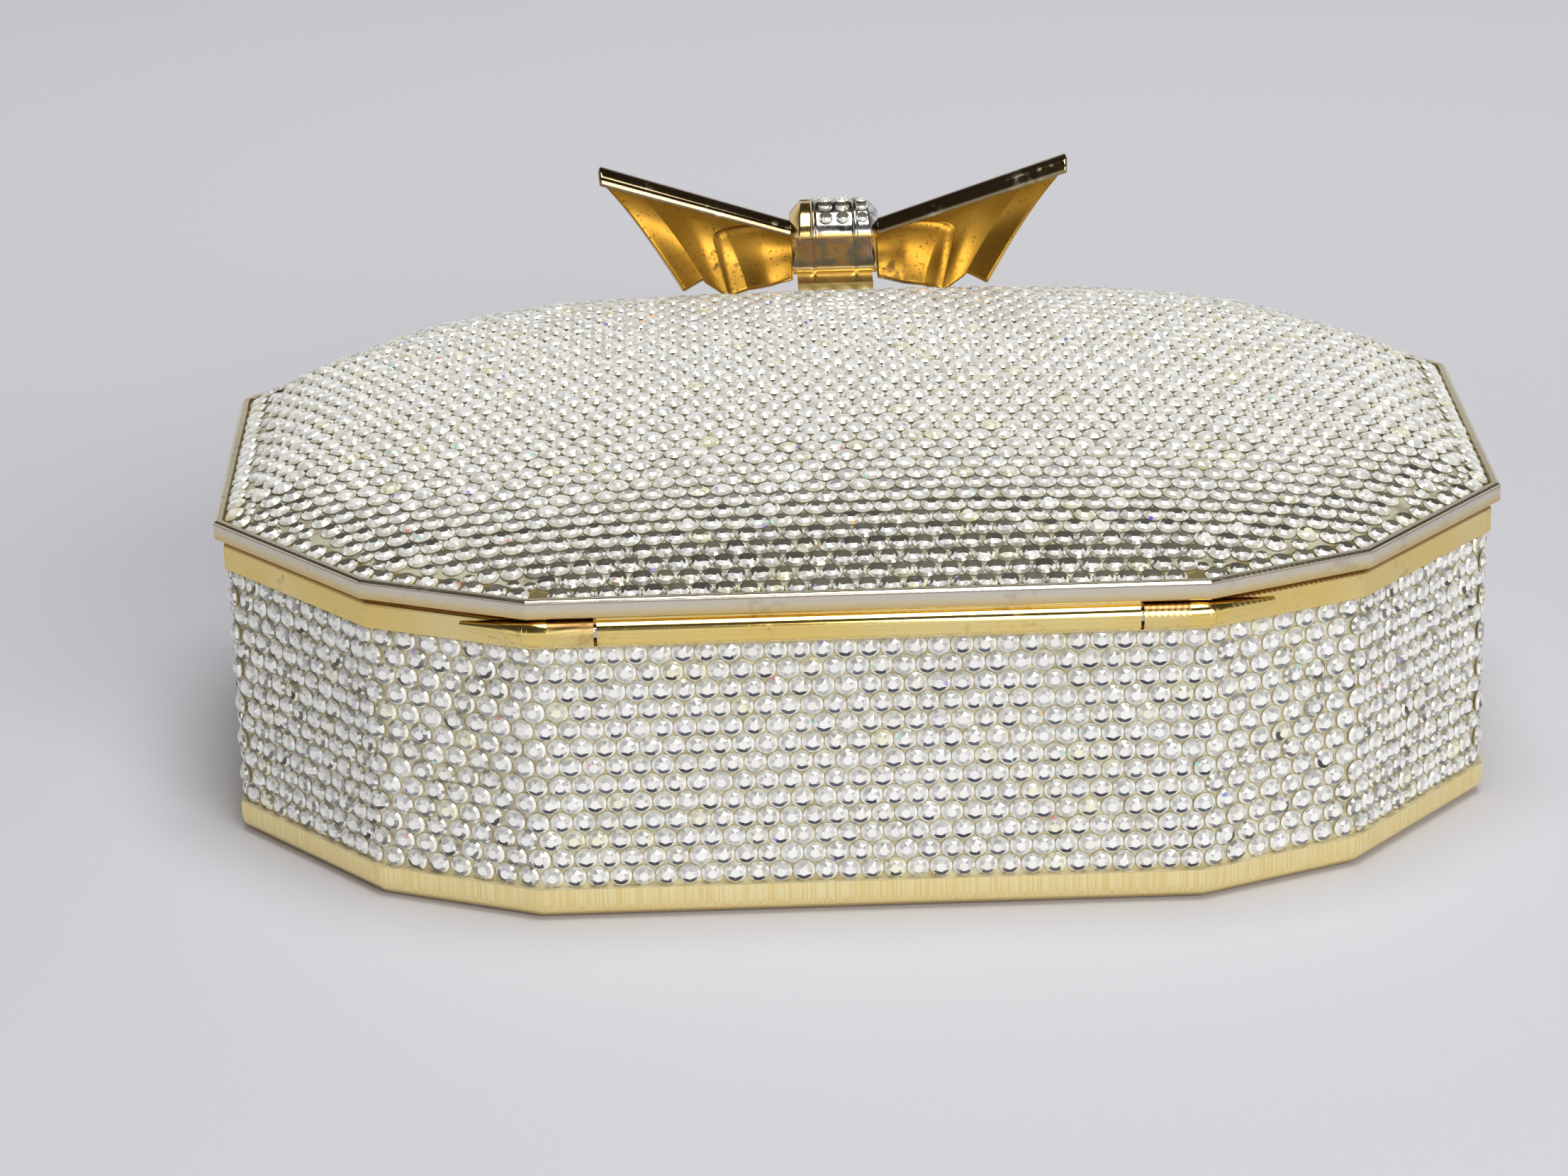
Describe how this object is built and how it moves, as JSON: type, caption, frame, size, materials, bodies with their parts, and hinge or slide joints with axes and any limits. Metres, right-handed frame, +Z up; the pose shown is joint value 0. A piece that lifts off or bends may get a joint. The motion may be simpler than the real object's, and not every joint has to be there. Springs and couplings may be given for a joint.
{
  "type": "minaudiere",
  "caption": "Hard evening case with twelve flat sides, a domed hinged lid, walls and dome paved with small crystals, and a cast bow that works the clasp.",
  "frame": {"origin": "middle of the flat bottom face, on the surface that the case lies on", "axes": "+X along the case, +Y from the hinge to the clasp, +Z up out of the base"},
  "size_m": [0.158, 0.1157, 0.062],
  "materials": {
    "polished_gold": "polished gold plate",
    "frame_gold": "satin gold plate",
    "rim_gold": "pale worn gold plate",
    "bow_gold": "cast and polished gold plate, matte inside",
    "crystal": "foil-backed faceted crystal",
    "gold_leather": "metallic kid leather",
    "pin_steel": "drawn wire",
    "spring_steel": "blued spring strip"
  },
  "bodies": {
    "base": {"base_shell": "polished_gold", "base_frame": "frame_gold", "base_stones_hinge_side": "crystal", "base_stones_clasp_side": "crystal", "base_stones_left": "crystal", "base_stones_right": "crystal", "base_lining": "gold_leather", "hinge_pin": "pin_steel", "clasp_bracket": "frame_gold", "clasp_pin": "pin_steel", "catch_spring": "spring_steel", "catch_rivets": "frame_gold"},
    "lid": {"lid_shell": "polished_gold", "lid_rim": "rim_gold", "lid_hinge_knuckle": "polished_gold", "lid_border_stones": "crystal", "lid_stones_hinge_left": "crystal", "lid_stones_hinge_right": "crystal", "lid_stones_clasp_left": "crystal", "lid_stones_clasp_right": "crystal", "lid_lining": "gold_leather", "lid_tongue": "rim_gold"},
    "clasp": {"clasp_lever": "bow_gold", "bow_left_wing": "bow_gold", "bow_right_wing": "bow_gold", "bow_knot": "bow_gold", "bow_knot_stones": "crystal"}
  },
  "joints": [
    {"name": "lid_hinge", "type": "hinge", "parent": "base", "child": "lid", "pos_m": [0, -0.0505, 0.0376], "axis": [1, 0, 0], "range_deg": [0, 100], "deforming": ["catch_spring"]},
    {"name": "clasp_tilt", "type": "hinge", "parent": "base", "child": "clasp", "pos_m": [0, 0.0534, 0.0407], "axis": [-1, 0, 0], "range_deg": [0, 20], "stiffness_Nm_per_rad": 0.25, "springref_deg": -11.46, "deforming": ["catch_spring"]}
  ]
}
